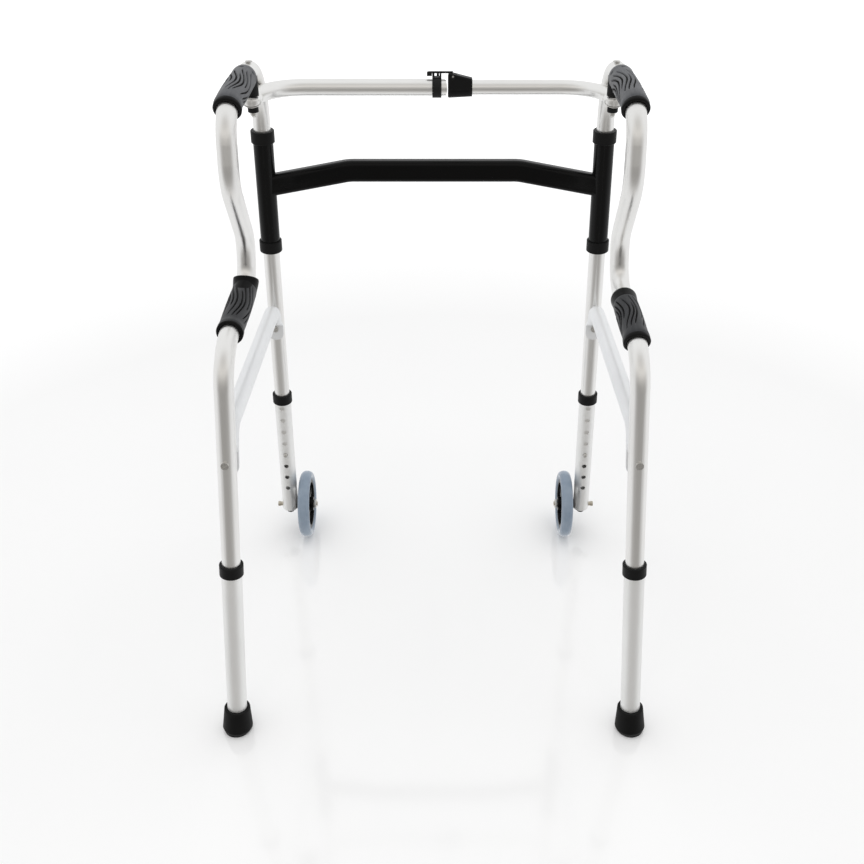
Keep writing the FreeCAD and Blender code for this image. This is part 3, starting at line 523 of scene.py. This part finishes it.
# ---------------------------------------------------------------- tyres
TYRE_INNER = 46.0 * MM
SEAT_SHARE = 0.62
SECTION_TURN = 150.0
SECTION_STEPS = 60
TYRE_AROUND = 180
MOULD_LINE = 0.18 * MM
BEAD_STEP = 0.35 * MM
# step along the section where each mark lies, and how many steps it spreads over
MOULD_AT, MOULD_SPREAD = 30, 1.2
BEADS_AT, BEAD_SPREAD = (9, 51), 1.6


def make_tyre(name):
    """Solid tyre: round section on a flat seat, with shallow bead steps and a faint mould line."""
    low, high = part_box(f"tyre_{name}")
    centre = (low + high) / 2
    outer = (high.z - low.z) / 2
    half = (high.x - low.x) / 2
    depth = (outer - TYRE_INNER) / 2
    middle = outer - depth
    profile = [(TYRE_INNER, half * SEAT_SHARE), (TYRE_INNER, -half * SEAT_SHARE)]
    for k in range(SECTION_STEPS + 1):
        turn = radians(-SECTION_TURN + 2 * SECTION_TURN * k / SECTION_STEPS)
        line = MOULD_LINE * np.exp(-((k - MOULD_AT) / MOULD_SPREAD) ** 2)
        step = BEAD_STEP * sum(np.exp(-((k - bead) / BEAD_SPREAD) ** 2) for bead in BEADS_AT)
        profile.append((middle + (depth - line - step) * cos(turn), (half - step) * sin(turn)))
    return turned(f"tyre_{name}_tread", profile, centre, (1, 0, 0), TYRE_AROUND)


for name in SIDES:
    carry(make_tyre(name), f"wheel_{name}", f"tyre_{name}", "tyre_rubber", LOOKS["tyre_rubber"])


# ---------------------------------------------------------------- plugs in the front legs' lower ends
PLUG_R = 7.2 * MM
PLUG_DROP = 9.5 * MM
PLUG_NECK_R = 6.0 * MM
PLUG_NECK = 1.0 * MM
PLUG_SHOULDER = 0.6 * MM
PLUG_ROUND = 2.4 * MM
PLUG_MIDDLE_R = 0.4 * MM
PLUG_AROUND = 64


def make_end_plug(name):
    """Rounded plug that hangs below the leg and reaches a little way up inside it."""
    low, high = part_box(f"end_plug_{name}")
    side = SIDES[name]
    foot, head = (Vector((side * x, y - CENTRE_Y, z)) for x, y, z in TUBE_CORNERS[:2])
    up = (head - foot).normalized()
    profile = [(PLUG_MIDDLE_R, PLUG_NECK), (PLUG_NECK_R, PLUG_NECK), (PLUG_NECK_R, 0.0)]
    profile += [(PLUG_R, -PLUG_SHOULDER), (PLUG_R, PLUG_ROUND - PLUG_DROP)]
    profile += arc_points(PLUG_R - PLUG_ROUND, PLUG_ROUND - PLUG_DROP, PLUG_ROUND, 0, -90, 8)
    profile += [(PLUG_MIDDLE_R, -PLUG_DROP)]
    return turned(f"end_plug_{name}_cap", profile, (low + high) / 2, up, PLUG_AROUND)


for name in SIDES:
    carry(make_end_plug(name), f"front_leg_{name}", f"end_plug_{name}", "black_plastic",
          LOOKS["black_plastic"])


# ---------------------------------------------------------------- pressed ends of the top bar
END_R = 13.7 * MM
END_INSIDE_R = 12.2 * MM
END_HALF_WIDTH = 14.0 * MM
END_HALF_HEIGHT = 5.0 * MM
END_TURN = 82.0
END_ROWS = 41
END_AROUND = 24


def make_bar_end(name):
    """Closed round end pressed into the flattened bar, curved about the bar's pivot bolt."""
    bolt_low, bolt_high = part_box(f"bar_pivot_bolt_{name}")
    tube_low, tube_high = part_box(f"bar_tube_{name}")
    bolt_middle = (bolt_low + bolt_high) / 2
    pivot = Vector((bolt_middle.x, bolt_middle.y, (tube_low.z + tube_high.z) / 2))
    middle_r, half_thick = (END_R + END_INSIDE_R) / 2, (END_R - END_INSIDE_R) / 2
    points = []
    for k in range(END_ROWS):
        turn = radians(-END_TURN + 2 * END_TURN * k / (END_ROWS - 1))
        height = END_HALF_HEIGHT * np.sqrt(1 - (END_R * sin(turn) / END_HALF_WIDTH) ** 2)
        for m in range(END_AROUND):
            a = tau * m / END_AROUND
            radius = middle_r + half_thick * cos(a)
            points.append(pivot + Vector((radius * sin(turn), -radius * cos(turn), height * sin(a))))
    faces = ring_faces(END_ROWS, END_AROUND, False)
    faces.append(tuple(range(END_AROUND - 1, -1, -1)))
    faces.append(tuple(range((END_ROWS - 1) * END_AROUND, END_ROWS * END_AROUND)))
    piece = mesh_object(f"bar_end_{name}", points, faces)
    dress(piece, LOOKS["frame_aluminium"])
    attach(piece, f"bar_{name}")


for name in SIDES:
    make_bar_end(name)


# ---------------------------------------------------------------- camera, floor and light
CAMERA_PLACE = (0.0132, -1.3204, 1.1747)
CAMERA_DOWN = 31.731
CAMERA_LENS = 41.68
CAMERA_SHIFT = (-0.0122, 0.0015)
SENSOR_WIDTH = 36.0
camera_data = bpy.data.cameras.new("camera")
camera = bpy.data.objects.new("camera", camera_data)
scene.collection.objects.link(camera)
scene.camera = camera
camera.location = CAMERA_PLACE
camera.rotation_euler = (radians(90.0 - CAMERA_DOWN), 0.0, 0.0)
camera_data.lens = CAMERA_LENS
camera_data.sensor_width = SENSOR_WIDTH
camera_data.shift_x, camera_data.shift_y = CAMERA_SHIFT

# the floor glows a little, and more far from the frame, where it melts into the white background
FLOOR_REACH = 14.0
GLOW_FROM = 1.2
GLOW_FULL = 3.2
NEAR_GLOW = 0.115
FAR_GLOW = 0.35
floor_mesh = bpy.data.meshes.new("floor")
corners = [(x * FLOOR_REACH, y * FLOOR_REACH, 0) for x, y in ((-1, -1), (1, -1), (1, 1), (-1, 1))]
floor_mesh.from_pydata(corners, [], [(0, 1, 2, 3)])
floor = bpy.data.objects.new("floor", floor_mesh)
scene.collection.objects.link(floor)
floor_look = Recipe("white_floor", IOR=1.45, Specular_IOR_Level=1.0)
haze = floor_look.noise(0.7, 3.0)
far_off = floor_look.node("MapRange", Value=floor_look.from_origin(), From_Min=GLOW_FROM,
                          From_Max=GLOW_FULL).outputs[0]
near_white = floor_look.ramp(haze, (0.3, 0.87), (0.7, 0.89))
floor_look.colour(floor_look.mix(far_off, near_white, (1.0, 1.0, 1.0)))
floor_look.shader.inputs["Emission Color"].default_value = (1.0, 1.0, 1.0, 1.0)
glow = floor_look.maths("ADD", floor_look.maths("MULTIPLY", far_off, FAR_GLOW), NEAR_GLOW)
floor_look.feed(floor_look.shader.inputs["Emission Strength"], glow)
floor_look.rough(haze, 0.07, 0.10)
dress(floor, floor_look.mat)
floor.visible_glossy = False


def area_light(name, place, target, size, power):
    """White softbox that lights the object but isn't mirrored in it; the studio world is mirrored."""
    data = bpy.data.lights.new(name, "AREA")
    data.shape = "RECTANGLE"
    data.size, data.size_y = size
    data.energy = power
    lamp = bpy.data.objects.new(name, data)
    lamp.location = place
    lamp.rotation_euler = (Vector(target) - Vector(place)).to_track_quat("-Z", "Y").to_euler()
    lamp.visible_glossy = False
    scene.collection.objects.link(lamp)


# name, place, target, size and watts
SOFTBOXES = (
    ("ceiling_softbox", (0.0, 0.3, 3.2), (0.0, 0.0, 0.0), (3.6, 2.8), 34.0),
    ("front_softbox", (0.0, -2.2, 2.6), (0.0, 0.0, 0.5), (2.4, 1.2), 10.0),
)
for softbox in SOFTBOXES:
    area_light(*softbox)

# height of a direction, from straight down (0) to straight up (1), and how bright the studio is there
FRONT_BANDS = ((0.0, 0.74), (0.20, 0.38), (0.38, 0.31), (0.53, 0.50), (0.70, 0.90), (0.82, 0.66),
               (0.93, 0.52), (1.0, 0.85))
WARM = (1.0, 0.975, 0.94)
ROOM = (0.93, 0.935, 0.94, 1.0)
DIFFUSE_SHARE = 0.74
# the bands fade out between these two values of a direction's Y
BANDS_FULL = -0.80
BANDS_GONE = -0.12


def studio_world():
    """White to the camera; to reflections, a bright room with soft bands behind the photographer."""
    world = bpy.data.worlds.new("studio")
    scene.world = world
    world.use_nodes = True
    tree = world.node_tree
    background = tree.nodes["Background"]

    def node(kind, **settings):
        made = tree.nodes.new("ShaderNode" + kind)
        for key, value in settings.items():
            setattr(made, key, value)
        return made

    split = node("SeparateXYZ")
    tree.links.new(node("TexCoord").outputs["Generated"], split.inputs[0])
    height = node("MapRange")
    tree.links.new(split.outputs["Z"], height.inputs["Value"])
    height.inputs["From Min"].default_value = -1.0
    bands = node("ValToRGB")
    bands.color_ramp.interpolation = "EASE"
    stops = bands.color_ramp.elements
    while len(stops) < len(FRONT_BANDS):
        stops.new(0.5)
    for stop, (where, level) in zip(stops, FRONT_BANDS):
        stop.position = where
        stop.color = (*(level * tint for tint in WARM), 1.0)
    tree.links.new(height.outputs[0], bands.inputs["Fac"])
    front = node("MapRange", interpolation_type="SMOOTHSTEP")
    tree.links.new(split.outputs["Y"], front.inputs["Value"])
    fade = {"From Min": BANDS_FULL, "From Max": BANDS_GONE, "To Min": 1.0, "To Max": 0.0}
    for key, value in fade.items():
        front.inputs[key].default_value = value
    room = node("Mix", data_type="RGBA")
    tree.links.new(front.outputs[0], room.inputs[0])
    room.inputs[6].default_value = ROOM
    tree.links.new(bands.outputs["Color"], room.inputs[7])
    path = node("LightPath")
    seen = node("Mix", data_type="RGBA")
    tree.links.new(path.outputs["Is Camera Ray"], seen.inputs[0])
    tree.links.new(room.outputs[2], seen.inputs[6])
    seen.inputs[7].default_value = (1.0, 1.0, 1.0, 1.0)
    tree.links.new(seen.outputs[2], background.inputs["Color"])
    soften = node("Math", operation="MULTIPLY_ADD")
    tree.links.new(path.outputs["Is Diffuse Ray"], soften.inputs[0])
    soften.inputs[1].default_value = DIFFUSE_SHARE - 1.0
    soften.inputs[2].default_value = 1.0
    tree.links.new(soften.outputs[0], background.inputs["Strength"])


studio_world()
scene.view_settings.view_transform = "Standard"
scene.view_settings.look = "None"
